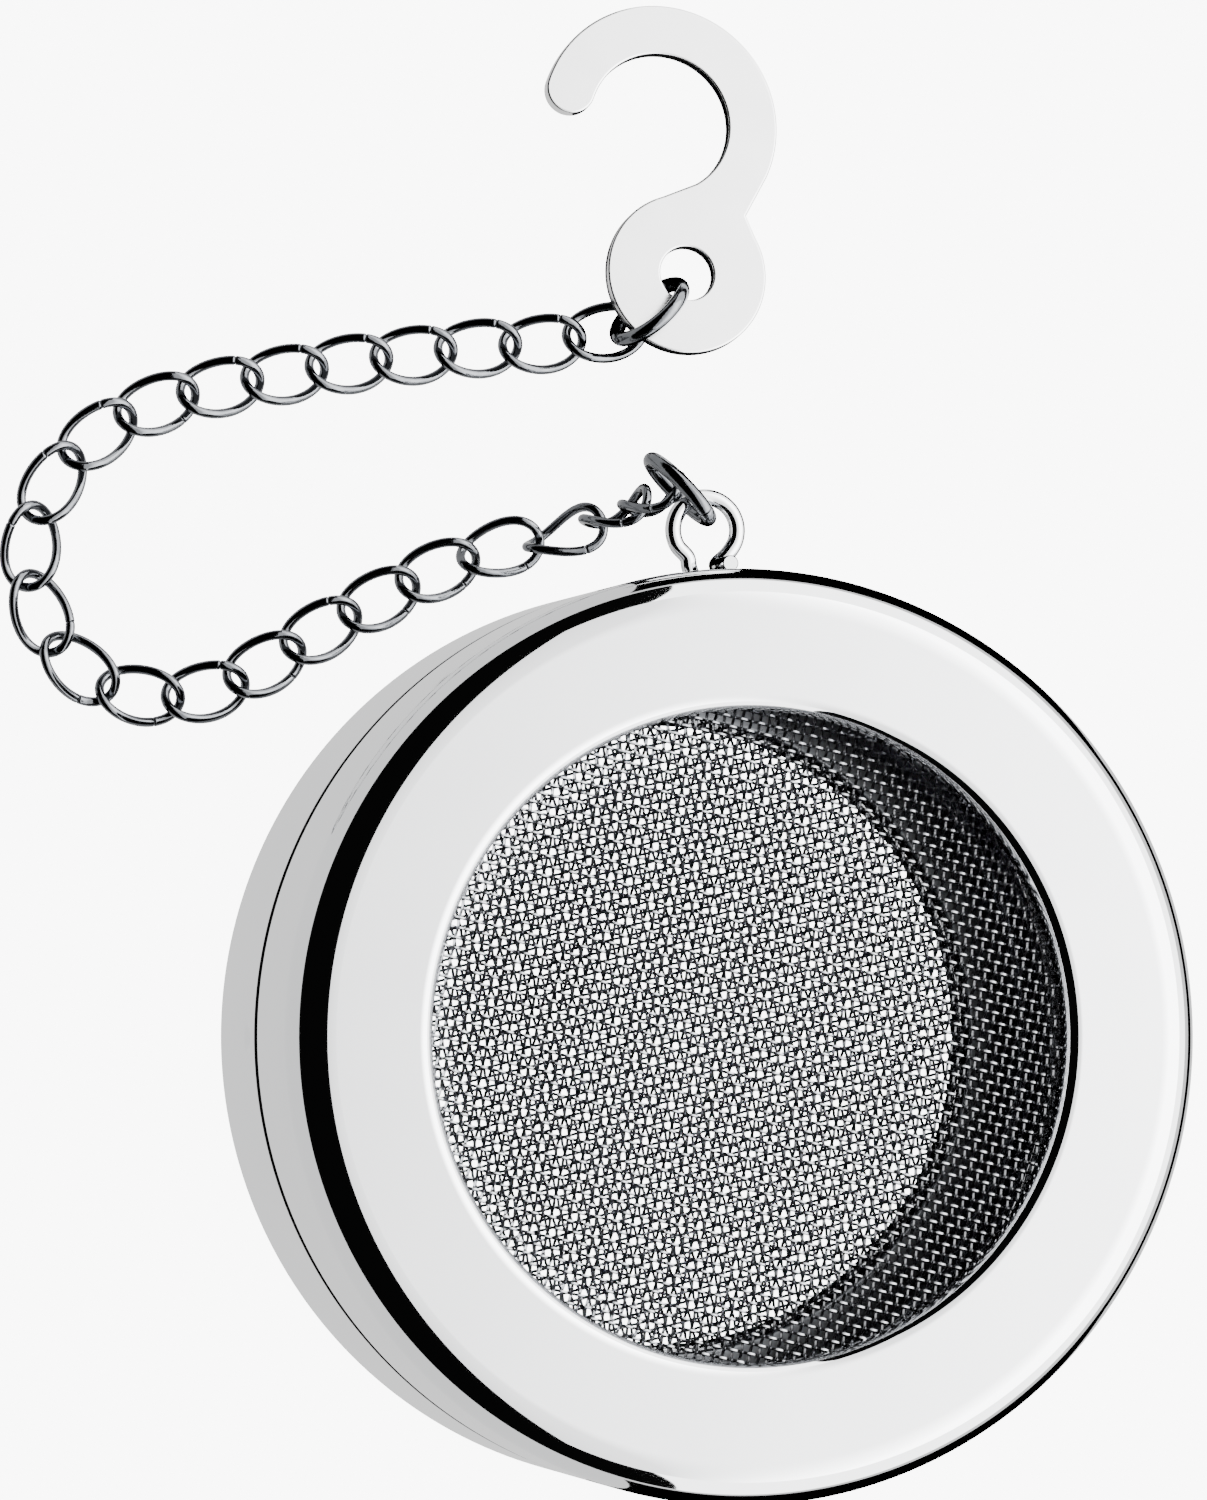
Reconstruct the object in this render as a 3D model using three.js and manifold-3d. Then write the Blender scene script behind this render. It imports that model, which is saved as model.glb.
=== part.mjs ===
// Drum-shaped tea infuser on a curb chain with a flat hook, lying on its back face.
// Two pressed cups with woven-wire windows close on an inner collar. Millimetres, +Z up along
// the drum's axis. The drum, chain and hook are laid out from the drum's axis, and the whole
// group is then centred so that the origin is the middle of the footprint.
import * as THREE from 'three';
import { mergeVertices } from 'three/addons/utils/BufferGeometryUtils.js';
import { ParametricGeometry } from 'three/addons/geometries/ParametricGeometry.js';
import Module from 'manifold-3d';

const wasm = await Module();
wasm.setup();

// ---------- driving dimensions ----------
const FIT_GAP = 0.3; // left between separate pieces that bear on each other

// drum
const DRUM_RADIUS = 32.5;
const DRUM_DEPTH = 30;
const SEAM_HEIGHT = 16.3; // the parting line above the back face
const SHEET = 0.6; // thickness of the pressed cups
const EDGE_RADIUS = 3; // round between face and side wall
const RIM_ROUND = 0.45; // round on each cup's rim, which makes the seam a groove
const WINDOW_RADIUS = 22.6;
const LIP_RADIUS = 1; // round where the face turns in to the window
const LIP_DEPTH = 2; // how deep the window's lip turns in

// woven windows and the rings that hold them
const CLOTH_THICKNESS = 0.5;
const CLOTH_SHARE = 0.46; // of the face from window to edge round that the cloth covers
const RING_SHEET = 0.6;
const RING_INSET = 0.5; // how far the ring's inner edge stands back from the window
const RING_SHARE = 0.16; // of the same face between the cloth's edge and the ring's upstand

// collar that the cups close on
const COLLAR_SHEET = 0.5;
const COLLAR_RISE = 5; // above the seam, inside the front cup
const COLLAR_DROP = 6.5; // below the seam, inside the back cup
const COLLAR_GAP = 0.4; // running gap to the cups' walls
const GROOVE_DEPTH = 0.35;
const GROOVE_HALF_WIDTH = 1.3;

// pressed dimples in the back cup that snap into the collar's groove
const DETENT_COUNT = 3;
const DETENT_DROP = 3.2; // below the seam
const DETENT_RADIUS = 1.45;
const DETENT_DEPTH = 0.35;
const DETENT_BUMP = 0.2; // how far the dimple stands out inside

// wire eye on the back cup
const EYE_WIRE = 1.15;
const EYE_LOOP = 4.7; // middle diameter of the loop
const EYE_DROP = 1.3; // plane of the loop below the seam
const EYE_OFFSET = 0.4; // loop's middle, sideways from the drum's centre line
const EYE_STANDOFF = 3.5; // loop's middle above the side wall
const EYE_TAIL = 4.4; // free end that runs along the side wall
const EYE_ROOT = -0.6; // where the fixed leg meets the wall, sideways
const EYE_TAIL_OFFSET = 1.15; // where the free end lies, sideways

// rings at the two ends of the chain
const RING_WIRE = 1.1;
const EYE_RING_LENGTH = 6.4; // middle length of the oval ring in the eye
const EYE_RING_WIDTH = 3.5;
const EYE_RING_TURN = 115; // degrees round the loop where the ring hangs
const EYE_RING_HEADING = 129; // degrees, direction that the ring lies in
const EYE_RING_SLOPE = 35; // degrees down towards the chain
const EYE_RING_REACH = 1.9; // from its inner end to the eye's wire
const EYE_RING_HANG = -60; // degrees round the ring where the chain hangs
const HOOK_RING_PLAY = 0.42; // room between this ring and the plate it goes round
const HOOK_RING_LEAN = 20; // degrees from upright
const HOOK_RING_RISE = 0.2; // hole's middle above the ring's radius
const HOOK_RING_TURN = 225; // degrees round the disc where the ring sits

// chain
const LINK_COUNT = 23;
const LINK_WIRE = 0.7;
const LINK_LENGTH = 6.65;
const LINK_ASPECT = 0.668; // width over length
const LINK_WIDTH = LINK_LENGTH * LINK_ASPECT;
const LINK_TWIST = 0.7; // height that the twist gives each strand
const LINK_SLACK = 0.0647 * LINK_LENGTH; // play between neighbours
const LINK_REST = LINK_TWIST + LINK_WIRE / 2 + 0.05; // height of a flat link's middle
const ROUTE_EASE = 1.012; // route's length over the straight runs between links

// hook plate, drawn from the middle of its hole
const HOOK_SHEET = 1.1;
const HOOK_HOLE_RADIUS = 2;
const HOOK_DISC_RADIUS = 5.95;
const HOOK_BOW_INNER = 5.2;
const HOOK_BOW_WIDTH = 3.65;
const HOOK_BOW_SHIFT = -1.65; // middle of the bow, sideways from the hole
const HOOK_TIP_ANGLE = 160; // degrees round the bow
const HOOK_NOTCH_ANGLE = 43.7; // degrees round the disc where the bow meets it
const HOOK_NOTCH_WEB = 0.42; // metal left in the notch outside the disc
const HOOK_FROM_CHAIN = new THREE.Vector2(3.8, 3.85); // hole from the chain's pull

const TURN_STEPS = 48; // facets round the drum
const WIRE_SIDES = 6;
const LINK_STEPS = 18;

// ---------- materials ----------
function steel(color, roughness) {
  return new THREE.MeshStandardMaterial({ color, roughness, metalness: 1 });
}
const polished = steel(0xe9eaec, 0.08);
const wireCloth = steel(0xb9bbbd, 0.3);
const spun = steel(0xa6a8ab, 0.28);
const darkChrome = steel(0x4a4b4f, 0.12);
const stamped = steel(0xf0f0f0, 0.22);

// ---------- geometry helpers ----------
const degrees = THREE.MathUtils.degToRad;
const UP = new THREE.Vector3(0, 0, 1);

// Points of an arc in the profile plane, from one angle to another in degrees.
function arc(x, y, radius, from, to, steps) {
  const points = [];
  for (let i = 0; i <= steps; i += 1) {
    const angle = degrees(from + ((to - from) * i) / steps);
    points.push(new THREE.Vector2(x + radius * Math.cos(angle), y + radius * Math.sin(angle)));
  }
  return points;
}

// A solid turned about +Z from a closed profile of [radius, height] points.
function turned(profile) {
  const points = profile.map((p) => (p.isVector2 ? p : new THREE.Vector2(p[0], p[1])));
  points.push(points[0].clone());
  return new THREE.LatheGeometry(points, TURN_STEPS).rotateX(Math.PI / 2);
}

// A closed loop of round wire along a closed curve.
function wireLoop(curve, diameter, steps) {
  const normal = new THREE.Vector3();
  const side = new THREE.Vector3();
  const surface = (u, v, target) => {
    const angle = 2 * Math.PI * v;
    const tangent = curve.getTangent(u % 1);
    normal.copy(UP).addScaledVector(tangent, -UP.dot(tangent)).normalize();
    side.crossVectors(tangent, normal);
    target.copy(curve.getPoint(u % 1));
    target.addScaledVector(side, (Math.cos(angle) * diameter) / 2);
    target.addScaledVector(normal, (Math.sin(angle) * diameter) / 2);
  };
  return new ParametricGeometry(surface, steps, WIRE_SIDES);
}

// An oval in the XY plane, whose strands rise and fall twice a turn by the given twist.
class OvalCurve extends THREE.Curve {
  constructor(length, width, twist = 0) {
    super();
    Object.assign(this, { length, width, twist });
  }

  getPoint(t, target = new THREE.Vector3()) {
    const angle = 2 * Math.PI * t;
    const x = (this.length / 2) * Math.cos(angle);
    const y = (this.width / 2) * Math.sin(angle);
    return target.set(x, y, this.twist * Math.sin(2 * angle));
  }
}

// Round wire along an open curve, with flat cut ends.
function wire(curve, diameter, steps) {
  const section = new THREE.Shape(arc(0, 0, diameter / 2, 0, 360, WIRE_SIDES).slice(1));
  return new THREE.ExtrudeGeometry(section, { steps, bevelEnabled: false, extrudePath: curve });
}

function toSolid(geometry) {
  const bare = geometry.clone();
  bare.deleteAttribute('normal');
  bare.deleteAttribute('uv');
  const merged = mergeVertices(bare, 1e-4);
  return new wasm.Manifold(new wasm.Mesh({
    numProp: 3,
    vertProperties: new Float32Array(merged.attributes.position.array),
    triVerts: new Uint32Array(merged.index.array),
  }));
}

function fromSolid(solid) {
  const mesh = solid.getMesh();
  const geometry = new THREE.BufferGeometry();
  geometry.setAttribute('position', new THREE.BufferAttribute(mesh.vertProperties, 3));
  geometry.setIndex(new THREE.BufferAttribute(mesh.triVerts, 1));
  geometry.computeVertexNormals();
  return geometry;
}

function part(name, geometry, material) {
  const mesh = new THREE.Mesh(geometry, material);
  mesh.name = name;
  return mesh;
}

// The matrix that carries a flat oval to a place, its length along one direction and its
// face towards another.
function frameAt(place, along, facing) {
  const x = along.clone().normalize();
  const z = facing.clone().addScaledVector(x, -facing.dot(x)).normalize();
  const y = new THREE.Vector3().crossVectors(z, x);
  return new THREE.Matrix4().makeBasis(x, y, z).setPosition(place);
}

// ---------- drum ----------

// A pressed cup with its face at height 0 and its rim at the given height.
function cup(height) {
  const edge = DRUM_RADIUS - EDGE_RADIUS;
  const lip = WINDOW_RADIUS + LIP_RADIUS;
  return turned([
    [WINDOW_RADIUS, LIP_DEPTH],
    ...arc(lip, LIP_RADIUS, LIP_RADIUS, 180, 270, 3),
    ...arc(edge, EDGE_RADIUS, EDGE_RADIUS, 270, 360, 5),
    ...arc(DRUM_RADIUS - RIM_ROUND, height - RIM_ROUND, RIM_ROUND, 0, 90, 2),
    [DRUM_RADIUS - SHEET, height],
    ...arc(edge, EDGE_RADIUS, EDGE_RADIUS - SHEET, 360, 270, 4),
    ...arc(lip, LIP_RADIUS, LIP_RADIUS - SHEET, 270, 180, 2),
    [WINDOW_RADIUS + SHEET, LIP_DEPTH],
  ]);
}

// The back cup's wall with its dimples pressed in round the side.
function dimpledCup(height) {
  const inner = DRUM_RADIUS - SHEET;
  const dentRadius = (DETENT_RADIUS ** 2 + DETENT_DEPTH ** 2) / (2 * DETENT_DEPTH);
  const bumpRadius = (DETENT_RADIUS ** 2 + DETENT_BUMP ** 2) / (2 * DETENT_BUMP);
  const core = toSolid(turned([
    [0, 0],
    [DRUM_RADIUS - SHEET / 2, 0],
    [DRUM_RADIUS - SHEET / 2, height],
    [0, height],
  ]));
  let solid = toSolid(cup(height));
  for (let i = 0; i < DETENT_COUNT; i += 1) {
    const turn = Math.PI + (2 * Math.PI * i) / DETENT_COUNT;
    const z = SEAM_HEIGHT - DETENT_DROP;
    const ball = (radius, reach) => toSolid(new THREE.SphereGeometry(radius, 24, 18)
      .translate(reach * Math.cos(turn), reach * Math.sin(turn), z));
    const bump = ball(bumpRadius, inner - DETENT_BUMP + bumpRadius).intersect(core);
    solid = solid.add(bump).subtract(ball(dentRadius, DRUM_RADIUS - DETENT_DEPTH + dentRadius));
  }
  return fromSolid(solid);
}

// Height of the window cloth's outer side behind its cup's face, and the radii of the cloth
// and of its ring, which fit between the window and the cup's round edge.
const CLOTH_DEPTH = LIP_DEPTH + FIT_GAP;
const FACE_ROOM = DRUM_RADIUS - EDGE_RADIUS - WINDOW_RADIUS;
const CLOTH_RADIUS = WINDOW_RADIUS + CLOTH_SHARE * FACE_ROOM;
const RING_RADIUS = CLOTH_RADIUS + RING_SHARE * FACE_ROOM + RING_SHEET;

function windowCloth() {
  const inner = CLOTH_DEPTH + CLOTH_THICKNESS;
  return turned([[0, CLOTH_DEPTH], [CLOTH_RADIUS, CLOTH_DEPTH], [CLOTH_RADIUS, inner], [0, inner]]);
}

// An angle-section ring that presses the cloth against the lip.
function clothRing() {
  const bottom = CLOTH_DEPTH + CLOTH_THICKNESS + FIT_GAP;
  const outer = RING_RADIUS;
  return turned([
    [WINDOW_RADIUS + RING_INSET, bottom],
    [outer - RING_SHEET, bottom],
    [outer - RING_SHEET, SHEET + FIT_GAP],
    [outer, SHEET + FIT_GAP],
    [outer, bottom + RING_SHEET],
    [WINDOW_RADIUS + RING_INSET, bottom + RING_SHEET],
  ]);
}

function collar() {
  const outer = DRUM_RADIUS - SHEET - COLLAR_GAP;
  const groove = SEAM_HEIGHT - DETENT_DROP;
  const bottom = SEAM_HEIGHT - COLLAR_DROP;
  const top = SEAM_HEIGHT + COLLAR_RISE;
  const side = (radius) => [
    [radius, bottom],
    [radius, groove - GROOVE_HALF_WIDTH],
    [radius - GROOVE_DEPTH, groove - GROOVE_HALF_WIDTH / 2],
    [radius - GROOVE_DEPTH, groove + GROOVE_HALF_WIDTH / 2],
    [radius, groove + GROOVE_HALF_WIDTH],
    [radius, top],
  ];
  return turned([...side(outer), ...side(outer - COLLAR_SHEET).reverse()]);
}

// Turns a back-cup shape over so that it serves the front cup.
function faceFront(geometry) {
  return geometry.rotateX(Math.PI).translate(0, 0, DRUM_DEPTH);
}

function buildDrum() {
  const drum = new THREE.Group();
  const rimGap = FIT_GAP / 2;
  drum.add(
    part('back_shell', dimpledCup(SEAM_HEIGHT - rimGap), polished),
    part('back_mesh', windowCloth(), wireCloth),
    part('back_mesh_ring', clothRing(), spun),
    part('front_shell', faceFront(cup(DRUM_DEPTH - SEAM_HEIGHT - rimGap)), polished),
    part('front_mesh', faceFront(windowCloth()), wireCloth),
    part('front_mesh_ring', faceFront(clothRing()), spun),
    part('front_collar', collar(), spun),
  );
  return drum;
}

// ---------- eye and its ring ----------
const EYE_HEIGHT = SEAM_HEIGHT - EYE_DROP;
const EYE_CENTRE = new THREE.Vector3(EYE_OFFSET, DRUM_RADIUS + EYE_STANDOFF, EYE_HEIGHT);

// The loop runs clockwise from its fixed leg to the free end, which turns forward.
function buildEye() {
  const surface = DRUM_RADIUS + FIT_GAP;
  const tail = surface + EYE_WIRE / 2;
  const points = [
    new THREE.Vector3(EYE_ROOT, surface, EYE_HEIGHT),
    new THREE.Vector3(EYE_ROOT - 0.2, surface + 0.6, EYE_HEIGHT),
  ];
  for (let angle = 235; angle >= -45; angle -= 28) {
    points.push(EYE_CENTRE.clone().add(new THREE.Vector3(
      (EYE_LOOP / 2) * Math.cos(degrees(angle)),
      (EYE_LOOP / 2) * Math.sin(degrees(angle)),
      0,
    )));
  }
  points.push(
    new THREE.Vector3(EYE_TAIL_OFFSET + 0.15, tail + 0.25, EYE_HEIGHT),
    new THREE.Vector3(EYE_TAIL_OFFSET, tail, EYE_HEIGHT + 0.7),
    new THREE.Vector3(EYE_TAIL_OFFSET, tail, EYE_HEIGHT + EYE_TAIL / 2),
    new THREE.Vector3(EYE_TAIL_OFFSET, tail, EYE_HEIGHT + EYE_TAIL),
  );
  return part('chain_eye', wire(new THREE.CatmullRomCurve3(points), EYE_WIRE, 44), polished);
}

// Directions of the eye ring: along its length, and across its opening upwards.
const ringAlong = new THREE.Vector3(
  Math.cos(degrees(EYE_RING_HEADING)) * Math.cos(degrees(EYE_RING_SLOPE)),
  Math.sin(degrees(EYE_RING_HEADING)) * Math.cos(degrees(EYE_RING_SLOPE)),
  -Math.sin(degrees(EYE_RING_SLOPE)),
);
const ringFacing = new THREE.Vector3().crossVectors(ringAlong, UP).normalize();
const ringAcross = new THREE.Vector3().crossVectors(ringFacing, ringAlong);

function eyeRingPlace() {
  const hold = EYE_CENTRE.clone().add(new THREE.Vector3(
    (EYE_LOOP / 2) * Math.cos(degrees(EYE_RING_TURN)),
    (EYE_LOOP / 2) * Math.sin(degrees(EYE_RING_TURN)),
    0,
  ));
  return hold.addScaledVector(ringAlong, EYE_RING_LENGTH / 2 - EYE_RING_REACH);
}

function buildEyeRing() {
  const geometry = wireLoop(new OvalCurve(EYE_RING_LENGTH, EYE_RING_WIDTH), RING_WIRE, 20);
  geometry.applyMatrix4(frameAt(eyeRingPlace(), ringAlong, ringFacing));
  return part('eye_ring', geometry, darkChrome);
}

// ---------- chain ----------

// Where the chain hangs on the eye ring, and how far a ring's wire passes from the middle of
// the link that it goes through.
const HANG = eyeRingPlace()
  .addScaledVector(ringAlong, (EYE_RING_LENGTH / 2) * Math.cos(degrees(EYE_RING_HANG)))
  .addScaledVector(ringAcross, (EYE_RING_WIDTH / 2) * Math.sin(degrees(EYE_RING_HANG)));
const RING_SEAT = 0.4875 * (LINK_LENGTH - LINK_WIRE) - (LINK_WIRE + RING_WIRE) / 2
  - 0.7 * FIT_GAP;
const LINK_PITCH = LINK_LENGTH - 2 * LINK_WIRE - LINK_SLACK;

// The route of the link middles: down from the eye ring, then on the table past the drum,
// round a bend and back to the hook. Each place on the table is [degrees round the drum,
// distance from its wall in link pitches, rise], and the degrees are stretched so that the
// links fill it.
function routeCurve(stretch) {
  const start = HANG.clone().addScaledVector(new THREE.Vector3(-0.36, -0.44, -0.82), RING_SEAT);
  const drop = start.z - LINK_REST;
  const lying = [[16.2, 0.98, 0.82], [23.6, 1.02, 0.27], [38.1, 1.18], [51.9, 1.78],
    [56.4, 2.59], [57.5, 3.61], [55.7, 4.52], [52.3, 5.23], [47.9, 5.6], [43.2, 5.64],
    [38.6, 5.41], [27, 4.54], [14.1, 3.98], [8.6, 3.86, 0.1], [3.1, 3.96, 0.3]];
  return new THREE.CatmullRomCurve3([
    start,
    start.clone().add(new THREE.Vector3(-0.34 * LINK_PITCH, -0.13 * LINK_PITCH, -0.47 * drop)),
    start.clone().add(new THREE.Vector3(-1.04 * LINK_PITCH, -0.44 * LINK_PITCH, -0.83 * drop)),
    ...lying.map(([turn, off, rise = 0]) => new THREE.Vector3(
      -(DRUM_RADIUS + off * LINK_PITCH) * Math.sin(degrees(turn * stretch)),
      (DRUM_RADIUS + off * LINK_PITCH) * Math.cos(degrees(turn * stretch)),
      LINK_REST + rise,
    )),
  ], false, 'centripetal');
}

// The stretch at which the route is just long enough for the links, found by halving.
function fittedRoute() {
  const wanted = (LINK_COUNT - 1) * LINK_PITCH * ROUTE_EASE;
  let low = 0.3;
  let high = 3;
  for (let i = 0; i < 30; i += 1) {
    const middle = (low + high) / 2;
    if (routeCurve(middle).getLength() < wanted) low = middle;
    else high = middle;
  }
  return routeCurve(high);
}

// Points on the route one pitch apart, each found by walking until the straight distance
// from the last reaches the pitch. Past the route's end they run straight on.
function routePlaces() {
  const route = fittedRoute();
  const places = [route.getPoint(0)];
  const samples = 8000;
  const beyond = route.getTangent(1);
  for (let i = 1; places.length < LINK_COUNT; i += 1) {
    const point = route.getPoint(Math.min(1, i / samples));
    point.addScaledVector(beyond, Math.max(0, i / samples - 1) * LINK_COUNT * LINK_PITCH);
    if (point.distanceTo(places[places.length - 1]) >= LINK_PITCH) places.push(point);
  }
  return places;
}

const PLACES = routePlaces();

function buildChain() {
  const chain = new THREE.Group();
  const shape = new OvalCurve(LINK_LENGTH - LINK_WIRE, LINK_WIDTH - LINK_WIRE, LINK_TWIST);
  PLACES.forEach((place, i) => {
    const before = PLACES[i - 1] ?? HANG;
    const after = PLACES[i + 1] ?? place.clone().multiplyScalar(2).sub(before);
    const flat = Math.min(1, (i + 0.3) / 4.3);
    const facing = ringAlong.clone().lerp(UP, flat);
    const matrix = frameAt(place, after.clone().sub(before), facing);
    const link = part(
      `chain_link_${String(i + 1).padStart(2, '0')}`,
      wireLoop(shape, LINK_WIRE, LINK_STEPS).applyMatrix4(matrix),
      darkChrome,
    );
    link.userData.frame = matrix;
    chain.add(link);
  });
  return chain;
}

// ---------- hook and its ring ----------
const HOOK_BOW_OUTER = HOOK_BOW_INNER + HOOK_BOW_WIDTH;
const HOOK_BOW_HEIGHT = HOOK_DISC_RADIUS + HOOK_BOW_INNER + 0.1;
const HOOK_RING_RADIUS = (HOOK_DISC_RADIUS - HOOK_HOLE_RADIUS + RING_WIRE) / 2 + HOOK_RING_PLAY;

// The plate's outline, anticlockwise from the notch: round the bow, its tip, back along the
// bow's inside and round the disc.
function hookOutline() {
  const middle = (HOOK_BOW_OUTER + HOOK_BOW_INNER) / 2;
  const tip = degrees(HOOK_TIP_ANGLE);
  const notch = degrees(HOOK_NOTCH_ANGLE);
  const notchReach = HOOK_DISC_RADIUS + HOOK_NOTCH_WEB;
  const shape = new THREE.Shape();
  shape.moveTo(notchReach * Math.cos(notch), notchReach * Math.sin(notch));
  shape.absarc(HOOK_BOW_SHIFT, HOOK_BOW_HEIGHT, HOOK_BOW_OUTER, degrees(-26), tip, false);
  shape.absarc(
    HOOK_BOW_SHIFT + middle * Math.cos(tip),
    HOOK_BOW_HEIGHT + middle * Math.sin(tip),
    HOOK_BOW_WIDTH / 2,
    tip,
    tip + Math.PI,
    false,
  );
  shape.absarc(HOOK_BOW_SHIFT, HOOK_BOW_HEIGHT, HOOK_BOW_INNER, tip, degrees(-60), true);
  shape.absarc(0, 0, HOOK_DISC_RADIUS, degrees(106), degrees(388), false);
  const hole = new THREE.Path();
  hole.absarc(0, 0, HOOK_HOLE_RADIUS, 0, 2 * Math.PI, true);
  shape.holes.push(hole);
  return shape;
}

// The ring goes through the hole and round the disc's edge, leaning a little from upright.
function hookRing() {
  const turn = degrees(HOOK_RING_TURN);
  const outward = new THREE.Vector3(Math.cos(turn), Math.sin(turn), 0);
  const upward = new THREE.Vector3(-outward.y, outward.x, 0)
    .multiplyScalar(Math.sin(degrees(HOOK_RING_LEAN)))
    .addScaledVector(UP, Math.cos(degrees(HOOK_RING_LEAN)));
  const axis = new THREE.Vector3().crossVectors(outward, upward);
  const centre = outward.clone().multiplyScalar((HOOK_HOLE_RADIUS + HOOK_DISC_RADIUS) / 2);
  const circle = new OvalCurve(2 * HOOK_RING_RADIUS, 2 * HOOK_RING_RADIUS);
  return wireLoop(circle, RING_WIRE, 20).applyMatrix4(frameAt(centre, outward, axis));
}

// The plate lies on its bow and on the ring, so the hole's end stands higher.
function buildHook() {
  const end = new THREE.Group();
  const plate = new THREE.ExtrudeGeometry(hookOutline(), {
    depth: HOOK_SHEET,
    bevelEnabled: false,
    curveSegments: 18,
  }).translate(0, 0, -HOOK_SHEET / 2);
  end.add(part('hook_ring', hookRing(), darkChrome), part('hook', plate, stamped));
  const last = PLACES[LINK_COUNT - 1];
  const pull = last.clone().sub(PLACES[LINK_COUNT - 2]).normalize();
  const height = HOOK_RING_RADIUS + HOOK_RING_RISE;
  end.position.copy(last).addScaledVector(pull, RING_SEAT)
    .add(new THREE.Vector3(HOOK_FROM_CHAIN.x, HOOK_FROM_CHAIN.y, 0));
  end.position.z = height;
  end.rotation.x = -Math.asin(
    (height - HOOK_SHEET / 2 - FIT_GAP / 2) / (HOOK_BOW_HEIGHT + HOOK_BOW_OUTER),
  );
  return end;
}

// ---------- assembly ----------
const infuser = new THREE.Group();
infuser.name = 'tea_infuser';
infuser.add(buildDrum(), buildEye(), buildEyeRing(), buildChain(), buildHook());
infuser.updateMatrixWorld(true);
const box = new THREE.Box3().setFromObject(infuser, true);
infuser.position.set(-(box.min.x + box.max.x) / 2, -(box.min.y + box.max.y) / 2, -box.min.z);
infuser.updateMatrixWorld(true);

export default infuser;
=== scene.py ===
"""Looks of a drum-shaped tea infuser on a curb chain with a flat hook.

The drum's cups are turned surfaces, the windows are real woven wires, and the chain, its
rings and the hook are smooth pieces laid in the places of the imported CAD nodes. Sizes in the
dataclasses are millimetres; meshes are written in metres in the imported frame.
"""

import logging
from dataclasses import dataclass, field
from enum import Enum

import bpy
import numpy as np
from mathutils import Euler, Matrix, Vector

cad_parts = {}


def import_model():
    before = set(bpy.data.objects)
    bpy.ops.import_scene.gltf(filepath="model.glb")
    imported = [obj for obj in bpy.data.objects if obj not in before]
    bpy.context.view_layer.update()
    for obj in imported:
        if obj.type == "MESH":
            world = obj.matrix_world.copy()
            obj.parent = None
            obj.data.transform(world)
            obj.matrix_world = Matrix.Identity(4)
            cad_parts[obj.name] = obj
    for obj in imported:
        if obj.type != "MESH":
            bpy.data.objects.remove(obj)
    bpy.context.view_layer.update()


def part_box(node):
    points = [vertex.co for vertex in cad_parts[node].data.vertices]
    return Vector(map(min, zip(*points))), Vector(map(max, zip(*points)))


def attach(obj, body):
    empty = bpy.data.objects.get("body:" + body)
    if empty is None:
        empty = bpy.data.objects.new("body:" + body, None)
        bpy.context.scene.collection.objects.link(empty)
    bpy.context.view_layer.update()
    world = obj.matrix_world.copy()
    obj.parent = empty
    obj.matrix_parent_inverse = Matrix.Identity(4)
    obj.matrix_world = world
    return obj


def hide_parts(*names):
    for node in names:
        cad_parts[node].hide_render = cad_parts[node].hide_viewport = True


LOG = logging.getLogger("tea_infuser")
MM = 0.001
LINK_COUNT = 23


class Slot(Enum):
    """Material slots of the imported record."""

    SHELL = "shell"
    CLOTH = "wire_cloth"
    STRIP = "inner_ring"
    CHAIN = "chain"
    PLATE = "hook_plate"


class Body(Enum):
    """The two halves of the drum; the chain's bodies have their nodes' names."""

    BACK = "back_half"
    FRONT = "front_half"


# ---------- colour and shader helpers ----------


def linear(hex_colour: str, alpha: float = 1.0) -> tuple[float, float, float, float]:
    """Turns an sRGB hex colour into linear light.

    Args:
        hex_colour: six hex digits, such as "c9cacc".
        alpha: fourth component.

    Returns:
        Red, green, blue and alpha. Below 0.04045 a channel is divided by 12.92; above it,
        0.055 is added, the sum is divided by 1.055 and raised to the power 2.4.
    """
    channels = np.array([int(hex_colour[i : i + 2], 16) for i in (0, 2, 4)]) / 255
    low = channels / 12.92
    high = ((channels + 0.055) / 1.055) ** 2.4
    red, green, blue = np.where(channels <= 0.04045, low, high)
    return float(red), float(green), float(blue), alpha


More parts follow.
